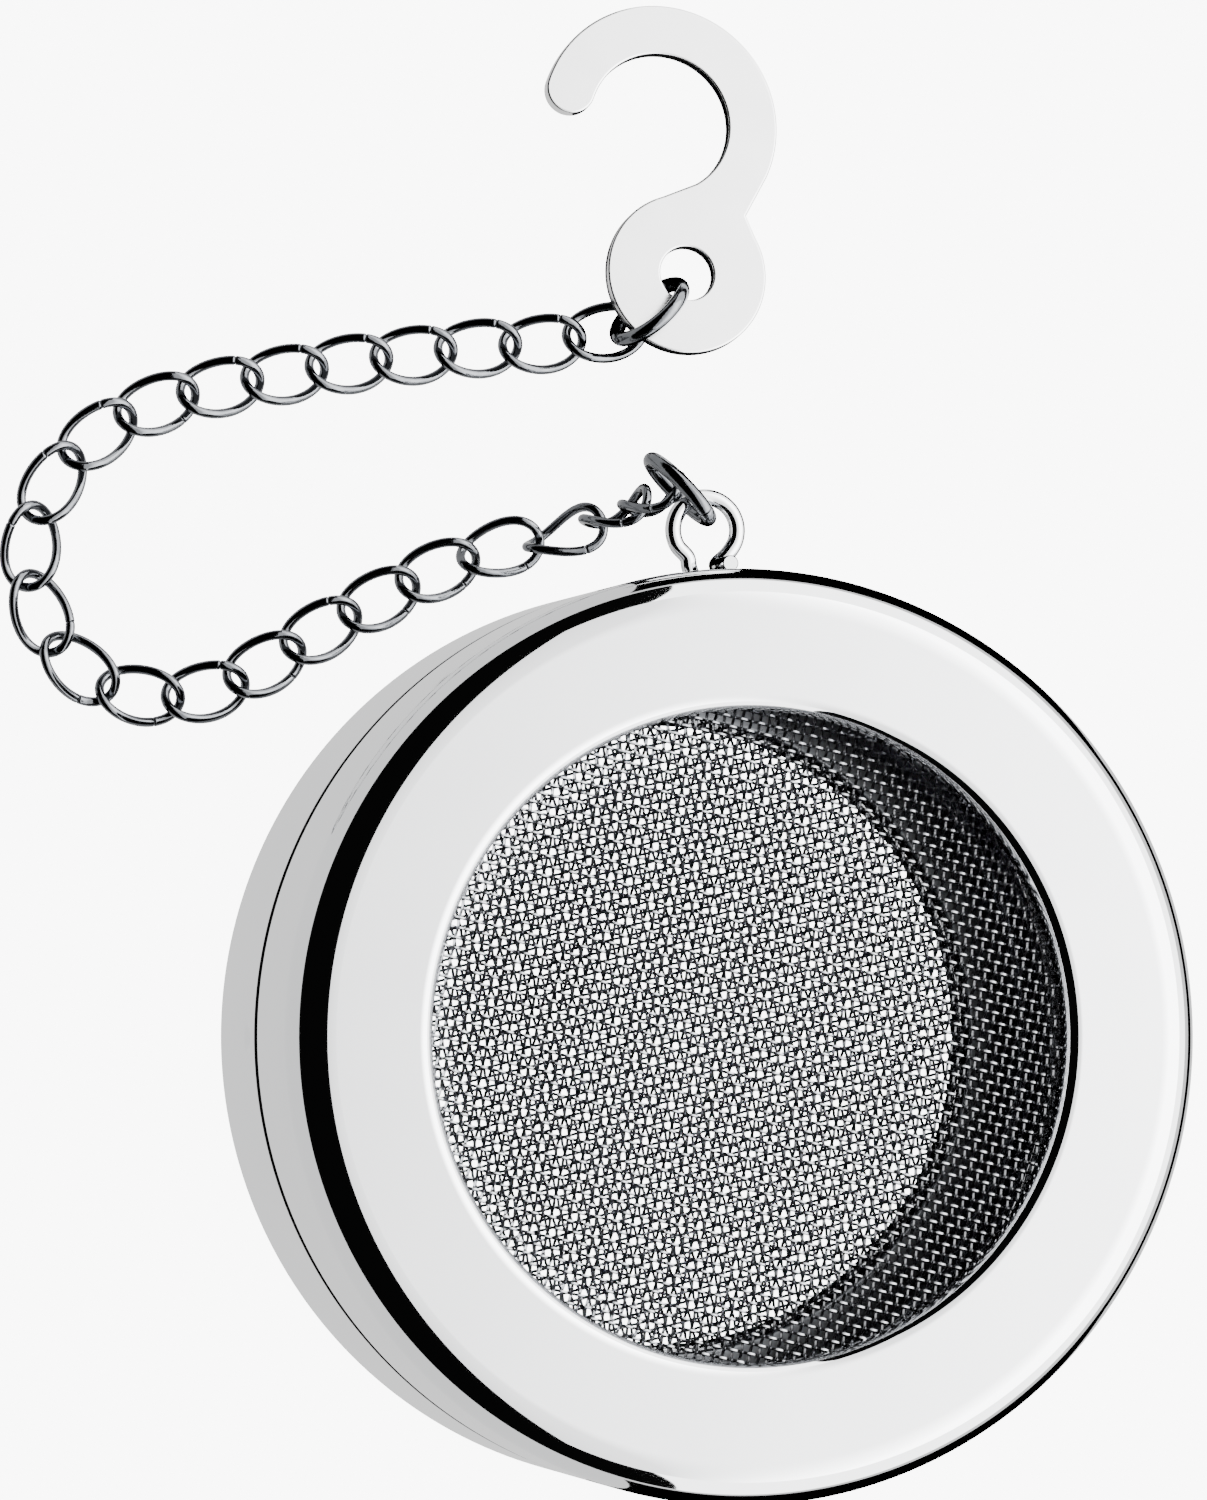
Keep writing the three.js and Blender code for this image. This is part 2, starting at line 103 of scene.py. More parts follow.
class Shader:
    """A material's node tree with one small method to add a node."""

    def __init__(self, name: str) -> None:
        """Starts an empty metal material.

        Args:
            name: the real material and process.
        """
        self.material = bpy.data.materials.new(name)
        self.material.use_nodes = True
        self.tree = self.material.node_tree
        self.tree.nodes.clear()

    def add(self, kind: str, inputs: dict | None = None, **settings) -> bpy.types.Node:
        """Adds a node.

        Args:
            kind: the node's type without "ShaderNode".
            inputs: socket name or index to a value or to another node's output socket.
            **settings: the node's own properties.

        Returns:
            The node.
        """
        node = self.tree.nodes.new(f"ShaderNode{kind}")
        for key, value in settings.items():
            setattr(node, key, value)
        for key, value in (inputs or {}).items():
            if isinstance(value, bpy.types.NodeSocket):
                self.tree.links.new(value, node.inputs[key])
            else:
                node.inputs[key].default_value = value
        return node

    def position(self) -> bpy.types.NodeSocket:
        """Object position in millimetres."""
        coordinates = self.add("TexCoord")
        scaled = self.add(
            "VectorMath", {0: coordinates.outputs["Object"], 3: 1 / MM}, operation="SCALE"
        )
        return scaled.outputs[0]

    def noise(self, at: bpy.types.NodeSocket, size_mm: float, detail: float = 2.0):
        """Noise whose features are about a given size.

        Args:
            at: position in millimetres.
            size_mm: size of the features.
            detail: octaves.

        Returns:
            The node's factor socket.
        """
        node = self.add("TexNoise", {"Vector": at, "Scale": 1 / size_mm, "Detail": detail})
        return node.outputs["Fac"]

    def spread(self, factor: bpy.types.NodeSocket, low: float, high: float):
        """Maps a noise factor's middle half to a range.

        Args:
            factor: noise factor.
            low: value at 0.3.
            high: value at 0.7.

        Returns:
            The mapped socket.
        """
        node = self.add(
            "MapRange",
            {"Value": factor, "From Min": 0.3, "From Max": 0.7, "To Min": low, "To Max": high},
        )
        return node.outputs["Result"]

    def bump(self, height: bpy.types.NodeSocket, depth_mm: float, strength: float = 1.0):
        """Bump from a height socket.

        Args:
            height: 0 to 1.
            depth_mm: relief between 0 and 1.
            strength: share of the relief that is used.

        Returns:
            The normal socket.
        """
        node = self.add(
            "Bump", {"Height": height, "Distance": depth_mm * MM, "Strength": strength}
        )
        return node.outputs["Normal"]

    def finish(self, **inputs) -> bpy.types.Material:
        """Adds the metal surface and the output.

        Args:
            **inputs: Principled sockets, with underscores for spaces.

        Returns:
            The material.
        """
        sockets = {key.replace("_", " "): value for key, value in inputs.items()}
        surface = self.add("BsdfPrincipled", {"Metallic": 1.0, **sockets})
        self.add("OutputMaterial", {"Surface": surface.outputs["BSDF"]})
        return self.material


# ---------- finishes ----------


@dataclass(frozen=True)
class MirrorSteel:
    """Deep-drawn stainless steel, buffed to a mirror."""

    name: str = "stainless steel, deep-drawn and mirror-buffed"
    tint: str = "f1f2f3"
    tint_worn: str = "e6e7e9"
    roughness: tuple[float, float] = (0.03, 0.05)
    ripple_mm: float = 7.0
    ripple_depth_mm: float = 0.0005
    buff_mm: float = 0.35

    def build(self) -> bpy.types.Material:
        """Builds the finish: buffing haze in the tint and the roughness, and a faint drawing
        ripple.
        """
        shader = Shader(self.name)
        at = shader.position()
        haze = shader.noise(at, 9.0, 4.0)
        colour = shader.add(
            "MixRGB",
            {"Fac": haze, "Color1": linear(self.tint), "Color2": linear(self.tint_worn)},
        )
        rough = shader.spread(shader.noise(at, self.buff_mm, 3.0), *self.roughness)
        ripple = shader.bump(shader.noise(at, self.ripple_mm, 1.0), self.ripple_depth_mm)
        return shader.finish(
            Base_Color=colour.outputs["Color"], Roughness=rough, Normal=ripple
        )


@dataclass(frozen=True)
class DrawnWire:
    """Bright drawn stainless wire, woven."""

    name: str = "stainless wire, bright drawn"
    tint: str = "a8a9ac"
    tint_dull: str = "7b7d80"
    roughness: tuple[float, float] = (0.1, 0.2)

    def build(self) -> bpy.types.Material:
        """Builds the finish: slight change of shine from wire to wire and die lines."""
        shader = Shader(self.name)
        at = shader.position()
        patch = shader.noise(at, 1.6, 2.0)
        colour = shader.add(
            "MixRGB",
            {"Fac": patch, "Color1": linear(self.tint), "Color2": linear(self.tint_dull)},
        )
        rough = shader.spread(shader.noise(at, 0.12, 2.0), *self.roughness)
        return shader.finish(Base_Color=colour.outputs["Color"], Roughness=rough)


@dataclass(frozen=True)
class RolledStrip:
    """Rolled stainless strip of the inner rings and the collar, its tints darkened as painted
    shade for the inside of the drum.
    """

    name: str = "stainless strip, cold-rolled and formed"
    # painted shade: both tints are darker than bright strip, for the shade inside the drum; the
    # mix between them is the rolling lines
    tint: str = "8e9093"
    tint_dull: str = "74767a"
    line_mm: float = 0.16
    roughness: tuple[float, float] = (0.22, 0.36)

    def build(self) -> bpy.types.Material:
        """Builds the finish: rolling lines that run round, as grooves stacked in height."""
        shader = Shader(self.name)
        at = shader.position()
        squeeze = shader.add(
            "VectorMath", {0: at, 1: (0.05, 0.05, 1.0)}, operation="MULTIPLY"
        )
        lines = shader.noise(squeeze.outputs[0], self.line_mm, 3.0)
        colour = shader.add(
            "MixRGB",
            {"Fac": lines, "Color1": linear(self.tint), "Color2": linear(self.tint_dull)},
        )
        return shader.finish(
            Base_Color=colour.outputs["Color"],
            Roughness=shader.spread(lines, *self.roughness),
            Normal=shader.bump(lines, 0.003),
        )


@dataclass(frozen=True)
class ChromePaintedDarkReflection:
    """Bright-plated wire of the chain and its rings, its tints darkened as a painted dark
    reflection of the surroundings.
    """

    name: str = "steel wire, dark chrome plated"
    # painted dark reflection: both tints are darkened so the chain looks as if it reflects dark
    # surroundings; the patchy mix between them is wear
    tint: str = "7c7e81"
    tint_worn: str = "4c4e52"
    roughness: tuple[float, float] = (0.06, 0.14)
    pit_mm: float = 0.22
    pit_depth_mm: float = 0.006

    def build(self) -> bpy.types.Material:
        """Builds the finish: plating that is worn in patches, over slightly pitted wire."""
        shader = Shader(self.name)
        at = shader.position()
        wear = shader.noise(at, 1.1, 4.0)
        colour = shader.add(
            "MixRGB",
            {"Fac": wear, "Color1": linear(self.tint), "Color2": linear(self.tint_worn)},
        )
        return shader.finish(
            Base_Color=colour.outputs["Color"],
            Roughness=shader.spread(shader.noise(at, 0.5, 3.0), *self.roughness),
            Normal=shader.bump(shader.noise(at, self.pit_mm, 2.0), self.pit_depth_mm),
        )


@dataclass(frozen=True)
class StampedPlate:
    """Stamped stainless plate with a fine satin grain."""

    name: str = "stainless plate, stamped and tumbled satin"
    tint: str = "f2f2f2"
    tint_dull: str = "e2e2e3"
    grain_mm: float = 0.14
    grain_depth_mm: float = 0.002
    roughness: tuple[float, float] = (0.16, 0.26)

    def build(self) -> bpy.types.Material:
        """Builds the finish: tumbled grain with a few broader dull patches."""
        shader = Shader(self.name)
        at = shader.position()
        patch = shader.noise(at, 3.0, 4.0)
        grain = shader.noise(at, self.grain_mm, 3.0)
        colour = shader.add(
            "MixRGB",
            {"Fac": patch, "Color1": linear(self.tint), "Color2": linear(self.tint_dull)},
        )
        return shader.finish(
            Base_Color=colour.outputs["Color"],
            Roughness=shader.spread(grain, *self.roughness),
            Normal=shader.bump(grain, self.grain_depth_mm),
        )


# ---------- surfaces ----------


def arc(x: float, y: float, radius: float, start: float, end: float, steps: int) -> np.ndarray:
    """Points of an arc in a profile plane.

    Args:
        x: centre's first coordinate.
        y: centre's second coordinate.
        radius: radius.
        start: first angle in degrees.
        end: last angle in degrees.
        steps: number of pieces.

    Returns:
        Array of steps + 1 points.
    """
    angle = np.radians(np.linspace(start, end, steps + 1))
    return np.column_stack((x + radius * np.cos(angle), y + radius * np.sin(angle)))


def grid_faces(rows: int, columns: int, close_rows: bool, close_columns: bool) -> np.ndarray:
    """Quads of a grid of vertices stored row by row.

    Args:
        rows: number of rows.
        columns: vertices to a row.
        close_rows: whether the last row joins the first.
        close_columns: whether each row is a ring.

    Returns:
        Array of quads.
    """
    row = np.arange(rows if close_rows else rows - 1)[:, None]
    column = np.arange(columns if close_columns else columns - 1)[None, :]
    next_row = (row + 1) % rows
    next_column = (column + 1) % columns
    corners = (
        row * columns + column,
        row * columns + next_column,
        next_row * columns + next_column,
        next_row * columns + column,
    )
    return np.stack(np.broadcast_arrays(*corners), axis=-1).reshape(-1, 4)


def turned(profile: np.ndarray, angles: np.ndarray) -> tuple[np.ndarray, np.ndarray]:
    """A closed surface turned about +Z.

    Args:
        profile: closed [radius, height] outline, anticlockwise.
        angles: places round the axis, in radians.

    Returns:
        Vertices in millimetres and outward quads.
    """
    radius, height = profile[:, 0][:, None], profile[:, 1][:, None]
    vertices = np.stack(
        np.broadcast_arrays(radius * np.cos(angles), radius * np.sin(angles), height), axis=-1
    ).reshape(-1, 3)
    return vertices, grid_faces(len(profile), len(angles), True, True)


def spline(points: np.ndarray, per_span: int) -> np.ndarray:
    """A smooth open line through points, with the tangent at each half the run between its
    neighbours.

    Args:
        points: points to pass through.
        per_span: pieces between two points.

    Returns:
        Points of the line.
    """
    padded = np.vstack((2 * points[0] - points[1], points, 2 * points[-1] - points[-2]))
    before, start, end, after = padded[:-3], padded[1:-2], padded[2:-1], padded[3:]
    t = (np.arange(per_span) / per_span)[None, :, None]
    before, start, end, after = (a[:, None, :] for a in (before, start, end, after))
    line = 0.5 * (
        2 * start
        + (end - before) * t
        + (2 * before - 5 * start + 4 * end - after) * t**2
        + (3 * start - before - 3 * end + after) * t**3
    )
    return np.vstack((line.reshape(-1, 3), points[-1]))


def transported(tangents: np.ndarray, first: np.ndarray) -> np.ndarray:
    """Normals carried along a line with the least twist.

    Args:
        tangents: unit tangents.
        first: a direction near the first normal.

    Returns:
        Unit normals, each the last one made square to its own tangent.
    """
    normals = np.empty_like(tangents)
    current = first
    for i, tangent in enumerate(tangents):
        current = current - tangent * (current @ tangent)
        current = current / np.linalg.norm(current)
        normals[i] = current
    return normals


def rods(
    centres: np.ndarray, normals: np.ndarray, radius: np.ndarray, sides: int, closed: bool
) -> tuple[np.ndarray, np.ndarray]:
    """Round wire along a line.

    Args:
        centres: points of the line.
        normals: unit normals of the line.
        radius: wire radius at each point.
        sides: facets round the wire.
        closed: whether the line is a loop; an open one gets end caps.

    Returns:
        Vertices and faces; an open wire's caps are fans round a middle point.
    """
    if closed:
        tangents = np.roll(centres, -1, 0) - np.roll(centres, 1, 0)
    else:
        tangents = np.gradient(centres, axis=0)
    tangents = tangents / np.linalg.norm(tangents, axis=1, keepdims=True)
    sideways = np.cross(tangents, normals)
    angle = 2 * np.pi * np.arange(sides) / sides
    offsets = (
        np.cos(angle)[None, :, None] * sideways[:, None, :]
        + np.sin(angle)[None, :, None] * normals[:, None, :]
    )
    vertices = (centres[:, None, :] + radius[:, None, None] * offsets).reshape(-1, 3)
    faces = grid_faces(len(centres), sides, closed, True)[:, ::-1]
    if closed:
        return vertices, faces
    count = len(vertices)
    vertices = np.vstack((vertices, centres[0], centres[-1]))
    ring = np.arange(sides)
    following = (ring + 1) % sides
    last = (len(centres) - 1) * sides
    start_cap = np.column_stack((ring, following, np.full(sides, count), ring))
    end_cap = np.column_stack(
        (last + following, last + ring, np.full(sides, count + 1), last + following)
    )
    return vertices, np.vstack((faces, start_cap[:, ::-1], end_cap[:, ::-1]))


def mesh_object(
    name: str, vertices: np.ndarray, faces: np.ndarray, sharp_degrees: float = 35.0
) -> bpy.types.Object:
    """Makes a smooth-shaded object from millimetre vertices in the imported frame.

    Args:
        name: object name.
        vertices: points in millimetres.
        faces: quads; one whose last corner repeats its first is a triangle.
        sharp_degrees: edges that turn more than this are shaded sharp.

    Returns:
        The object, with its origin at the frame's origin.
    """
    mesh = bpy.data.meshes.new(name)
    quads = faces[:, 0] != faces[:, 3]
    counts = np.where(quads, 4, 3)
    keep = np.ones_like(faces, bool)
    keep[~quads, 3] = False
    corners = faces[keep]
    mesh.vertices.add(len(vertices))
    mesh.vertices.foreach_set("co", (vertices * MM).astype(np.float32).ravel())
    mesh.loops.add(len(corners))
    mesh.loops.foreach_set("vertex_index", corners.astype(np.int32))
    mesh.polygons.add(len(faces))
    starts = np.concatenate(([0], np.cumsum(counts)[:-1]))
    mesh.polygons.foreach_set("loop_start", starts.astype(np.int32))
    mesh.polygons.foreach_set("use_smooth", np.ones(len(faces), bool))
    mesh.update(calc_edges=True)
    mesh.set_sharp_from_angle(angle=np.radians(sharp_degrees))
    obj = bpy.data.objects.new(name, mesh)
    bpy.context.scene.collection.objects.link(obj)
    return obj


def node_points(node: str) -> np.ndarray:
    """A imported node's vertices in millimetres."""
    mesh = bpy.data.objects[node].data
    points = np.zeros(len(mesh.vertices) * 3, np.float32)
    mesh.vertices.foreach_get("co", points)
    return points.reshape(-1, 3).astype(float) / MM


def node_frame(node: str) -> tuple[np.ndarray, np.ndarray]:
    """Middle and axes of a packed ring-like node.

    Args:
        node: node name.

    Returns:
        The middle, and a matrix whose columns are the long, broad and thin directions, right
        handed. They are the directions of most to least spread of the node's points.
    """
    points = np.unique(np.round(node_points(node), 4), axis=0)
    middle = points.mean(0)
    _, _, axes = np.linalg.svd(points - middle, full_matrices=False)
    axes[2] = np.cross(axes[0], axes[1])
    return middle, axes.T


def place(obj: bpy.types.Object, body: str, slot: Slot, material, *nodes: str) -> None:
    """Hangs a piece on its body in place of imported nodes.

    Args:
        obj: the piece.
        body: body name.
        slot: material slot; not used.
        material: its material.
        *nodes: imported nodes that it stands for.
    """
    obj.data.materials.clear()
    obj.data.materials.append(material)
    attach(obj, body)
    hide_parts(*nodes)


# ---------- drum ----------


@dataclass
class PressedCup:
    """One pressed cup: window lip, flat face, round edge, side wall and bevelled rim."""

    radius: float = 32.5
    height: float = 16.15
    sheet: float = 0.6
    edge: float = 3.0
    rim: float = 0.47
    coin: float = 0.12
    window: float = 22.6
    lip: float = 1.0
    lip_depth: float = 2.0
    dimple_turns: tuple[float, ...] = ()
    dimple_height: float = 13.1
    dimple_radius: float = 1.45
    dimple_depth: float = 0.34
    wall_rows: int = 24
    bevel_turn: float = 48.0
    bevel_blend: float = 0.07
    outer_break: float = 0.1
    inner_break: float = 0.08

    def profile(self) -> np.ndarray:
        """The cup's section, face at height 0, with short spans beside each round.

        The rim is bevelled: the wall turns inwards by the bevel's turn, runs straight, and
        turns flat at the top just outside the inner side, whose corner is broken.
        """
        edge = self.radius - self.edge
        lip = self.window + self.lip
        inner = self.radius - self.sheet
        guard, near_dimple = 0.06, 1.9
        wall = np.linspace(self.edge + guard, self.height - self.rim - guard, self.wall_rows)
        if self.dimple_turns:
            dense = self.dimple_height + np.linspace(-near_dimple, near_dimple, 39)
            wall = np.unique(np.concatenate((wall, dense)))
        side_out = np.column_stack((np.full(len(wall), self.radius), wall))
        side_in = np.column_stack((np.full(len(wall), inner), wall[::-1]))
        flat = np.linspace(lip + guard, edge - guard, 4)
        turn, far, close = self.bevel_turn, self.outer_break, self.inner_break
        low_round = arc(self.radius - self.coin, self.height - self.rim, self.coin, 0, turn, 4)
        high_round = arc(inner + far, self.height - far, far, turn, 90, 4)
        low_share = np.array([1 - self.bevel_blend, self.bevel_blend])[:, None]
        bevel = low_share * low_round[-1] + (1 - low_share) * high_round[0]
        return np.vstack((
            arc(self.window + self.sheet / 2, self.lip_depth, self.sheet / 2, 90, 180, 5)[:-1],
            arc(lip, self.lip, self.lip, 180, 270, 14),
            np.column_stack((flat, np.zeros(4))),
            arc(edge, self.edge, self.edge, 270, 360, 26),
            side_out,
            low_round,
            bevel,
            high_round,
            arc(inner + close, self.height - close, close, 110, 180, 3),
            side_in,
            arc(edge, self.edge, self.edge - self.sheet, 360, 270, 14),
            np.column_stack((flat[::-1], np.full(4, self.sheet))),
            arc(lip, self.lip, self.lip - self.sheet, 270, 180, 8),
            [[self.window + self.sheet, self.lip_depth - 0.1]],
        ))

    def angles(self) -> np.ndarray:
        """Places round the drum, closer together by the dimples."""
        even = 2 * np.pi * np.arange(240) / 240
        near = np.linspace(-0.062, 0.062, 41)
        rows = [even] + [turn + near for turn in self.dimple_turns]
        return np.unique(np.round(np.mod(np.concatenate(rows), 2 * np.pi), 5))

    def build(self, name: str, centre: np.ndarray, flip_depth: float | None) -> bpy.types.Object:
        """Builds the cup.

        Args:
            name: object name.
            centre: drum axis at the base.
            flip_depth: drum depth for the upper cup, which is turned over about X.

        Returns:
            The cup. Within a dimple the wall moves in by the depth times the cube of one
            less the share of the dimple's radius to the power 1.5.
        """
        vertices, faces = turned(self.profile(), self.angles())
        azimuth = np.arctan2(vertices[:, 1], vertices[:, 0])
        reach = np.hypot(vertices[:, 0], vertices[:, 1])
        on_wall = reach > self.radius - self.sheet - 0.01
        for turn in self.dimple_turns:
            away = np.angle(np.exp(1j * (azimuth - turn))) * self.radius
            share = np.hypot(away, vertices[:, 2] - self.dimple_height) / self.dimple_radius
            dent = np.where(on_wall & (share < 1), (1 - np.minimum(share, 1) ** 1.5) ** 3, 0)
            scale = 1 - self.dimple_depth * dent / reach
            vertices[:, :2] *= scale[:, None]
        if flip_depth is not None:
            vertices = vertices * (1, -1, -1) + (0, 0, flip_depth)
        return mesh_object(name, vertices + centre, faces)


@dataclass
class WovenCloth:
    """Plain-weave wire cloth cut to a disc."""

    radius: float = 24.6
    pitch_warp: float = 0.636
    pitch_weft: float = 0.69
    lean: float = 13.0
    wire: float = 0.22
    steps: int = 4
    sides: int = 5

    def family(self, height: float, warp: bool, mirror: bool) -> tuple[np.ndarray, np.ndarray]:
        """One family of wires.

        Args:
            height: the cloth's middle plane.
            warp: whether these run along Y, rather than X, before the lean.
            mirror: whether the lean is to the other side.

        Returns:
            Vertices about the drum axis and faces. A wire's height is the wire's radius times
            the cosine of half a turn per crossing, and the two families are opposite.
        """
        own = self.pitch_warp if warp else self.pitch_weft
        other = self.pitch_weft if warp else self.pitch_warp
        lean = np.radians(-self.lean if mirror else self.lean)
        along = np.array([np.sin(lean), np.cos(lean), 0.0])
        across = np.array([np.cos(lean), -np.sin(lean), 0.0])
        if not warp:
            along, across = across, along
        up = np.array([0.0, 0.0, 1.0])
        amplitude = (self.wire / 2) * (1 if warp else -1)
        number = int(self.radius / own)
        all_vertices, all_faces, count = [], [], 0
        for index in range(-number, number + 1):
            half = np.sqrt(max(self.radius**2 - (index * own) ** 2, 0))
            pieces = int(half / other * self.steps)
            if pieces < 2:
                continue
            s = np.arange(-pieces, pieces + 1) * other / self.steps
            phase = np.pi * s / other + np.pi * index
            rise = amplitude * np.cos(phase)
            slope = -amplitude * np.sin(phase) * np.pi / other
            centres = index * own * across + s[:, None] * along + (height + rise)[:, None] * up
            normals = up - slope[:, None] * along
            normals /= np.linalg.norm(normals, axis=1, keepdims=True)
            radius = np.full(len(s), self.wire / 2)
            vertices, faces = rods(centres, normals, radius, self.sides, False)
            all_vertices.append(vertices)
            all_faces.append(faces + count)
            count += len(vertices)
        return np.vstack(all_vertices), np.vstack(all_faces)


@dataclass
class AngleRing:
    """Angle-section ring that presses the cloth to the lip."""

    inner: float = 23.1
    outer: float = 27.47
    top: float = 0.9
    bottom: float = 3.1
    sheet: float = 0.6

    def profile(self) -> np.ndarray:
        """The ring's section in the cup's own frame, with its bend and edges rounded."""
        outer_bend, inner_bend, edge = 0.75, 0.2, 0.25
        base = self.bottom + self.sheet
        stand = self.outer - self.sheet
        return np.vstack((
            arc(self.inner + edge, self.bottom + edge, edge, 180, 270, 4),
            arc(stand - inner_bend, self.bottom - inner_bend, inner_bend, 90, 0, 4),
            arc(stand + edge, self.top + edge, edge, 180, 270, 4),
            arc(self.outer - edge, self.top + edge, edge, 270, 360, 4),
            arc(self.outer - outer_bend, base - outer_bend, outer_bend, 0, 90, 7),
            arc(self.inner + edge, base - edge, edge, 90, 180, 4),
        ))


@dataclass
class Collar:
    """Inner collar with the groove that the dimples snap into."""

    outer: float = 31.5
    sheet: float = 0.5
    bottom: float = 9.8
    top: float = 21.3
    groove: float = 13.1
    groove_depth: float = 0.35
    groove_half: float = 1.3

    def profile(self) -> np.ndarray:
        """The collar's section; the groove follows a raised cosine over its width."""
        edge = 0.2
        z = np.concatenate((
            [self.bottom + edge],
            np.linspace(self.groove - self.groove_half, self.groove + self.groove_half, 17),
            [self.top - edge],
        ))
        share = np.clip(np.abs(z - self.groove) / self.groove_half, 0, 1)
        dip = self.groove_depth * 0.5 * (1 + np.cos(np.pi * share))
        outside = np.column_stack((self.outer - dip, z))
        inside = np.column_stack((self.outer - dip - self.sheet, z))[::-1]
        middle = self.outer - self.sheet / 2
        low = arc(middle, self.bottom + edge, edge, 200, 340, 5)
        high = arc(middle, self.top - edge, edge, 20, 160, 5)
        return np.vstack((low, outside, high, inside))


@dataclass
class Drum:
    """The two halves of the drum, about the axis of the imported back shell."""

    centre: np.ndarray
    depth: float = 30.0
    seam: float = 16.3
    rim_gap: float = 0.25
    cloth_depth: float = 2.55
    cloth: WovenCloth = field(default_factory=WovenCloth)
    ring: AngleRing = field(default_factory=AngleRing)
    collar: Collar = field(default_factory=Collar)
    dimples: tuple[float, ...] = (np.pi, np.pi / 3, 5 * np.pi / 3)

    def build(self, finishes: dict[Slot, bpy.types.Material]) -> None:
        """Builds both halves and hangs them on their bodies."""
        angles = 2 * np.pi * np.arange(192) / 192
        back = PressedCup(height=self.seam - self.rim_gap, dimple_turns=self.dimples)
        front = PressedCup(height=self.depth - self.seam - self.rim_gap)
        shell = finishes[Slot.SHELL]
        for half, cup, flip in ((Body.BACK, back, None), (Body.FRONT, front, self.depth)):
            side = half.value.split("_")[0]
            shape = cup.build(f"{side}_cup", self.centre, flip)
            place(shape, half.value, Slot.SHELL, shell, f"{side}_shell")
            self.build_window(side, half, flip, finishes)
            vertices, faces = turned(self.ring.profile(), angles)
            if flip is not None:
                vertices = vertices * (1, -1, -1) + (0, 0, flip)
            ring = mesh_object(f"{side}_cloth_ring", vertices + self.centre, faces)
            strip = finishes[Slot.STRIP]
            place(ring, half.value, Slot.STRIP, strip, f"{side}_mesh_ring")
        vertices, faces = turned(self.collar.profile(), angles)
        collar = mesh_object("snap_collar", vertices + self.centre, faces)
        place(collar, Body.FRONT.value, Slot.STRIP, finishes[Slot.STRIP], "front_collar")

    def build_window(
        self, side: str, half: Body, flip: float | None, finishes: dict[Slot, bpy.types.Material]
    ) -> None:
        """Builds a window's cloth as its warp and its weft.

        Args:
            side: "back" or "front".
            half: body that it rides on.
            flip: drum depth on the front half.
            finishes: materials by slot.
        """
        height = self.cloth_depth if flip is None else flip - self.cloth_depth
        for warp in (True, False):
            vertices, faces = self.cloth.family(height, warp, flip is None)
            name = f"{side}_cloth_{'warp' if warp else 'weft'}"
            wires = mesh_object(name, vertices + self.centre, faces, 60)
            place(wires, half.value, Slot.CLOTH, finishes[Slot.CLOTH], f"{side}_mesh")


# ---------- eye, chain and hook ----------


@dataclass
class Eye:
    """Bent wire eye on the back cup's side, with its cut end facing forward."""

    centre: np.ndarray
    drum_radius: float = 32.5
    wire: float = 1.15
    loop: float = 4.7
    height: float = 15.0
    offset: float = 0.4
    standoff: float = 3.5
    tail: float = 4.4
    gap: float = 0.3
    root: float = -0.6
    tail_offset: float = 1.15
    chamfer: float = 0.08

    def line(self) -> np.ndarray:
        """The wire's middle line, clockwise from the fixed leg to the free end."""
        surface = self.drum_radius + self.gap
        tail = surface + self.wire / 2
        angle = np.radians(np.arange(235, -46, -28))
        loop = np.column_stack((
            self.offset + self.loop / 2 * np.cos(angle),
            self.drum_radius + self.standoff + self.loop / 2 * np.sin(angle),
            np.full(len(angle), self.height),
        ))
        points = np.vstack((
            [self.root, surface, self.height],
            [self.root - 0.2, surface + 0.6, self.height],
            loop,
            [self.tail_offset + 0.15, tail + 0.25, self.height],
            [self.tail_offset, tail, self.height + 0.7],
            [self.tail_offset, tail, self.height + self.tail / 2],
            [self.tail_offset, tail, self.height + self.tail],
        ))
        return spline(points, 10)

    def build(self, material: bpy.types.Material) -> None:
        """Builds the eye with a small chamfer on its free cut end."""
        line = self.line()
        tangents = np.gradient(line, axis=0)
        tangents /= np.linalg.norm(tangents, axis=1, keepdims=True)
        normals = transported(tangents, np.array([0.0, 0.3, 1.0]))
        step = np.r_[0, np.cumsum(np.linalg.norm(np.diff(line, axis=0), axis=1))]
        end = line[-1] - tangents[-1] * self.chamfer
        line = np.vstack((line[:-1], end, line[-1]))
        normals = np.vstack((normals[:-1], normals[-1], normals[-1]))
        radius = np.full(len(line), self.wire / 2)
        radius[-1] -= self.chamfer
        LOG.info("eye wire is %.1f mm long", step[-1])
        vertices, faces = rods(line, normals, radius, 24, False)
        place(
            mesh_object("wire_eye", vertices + self.centre, faces),
            Body.BACK.value,
            Slot.SHELL,
            material,
            "chain_eye",
        )


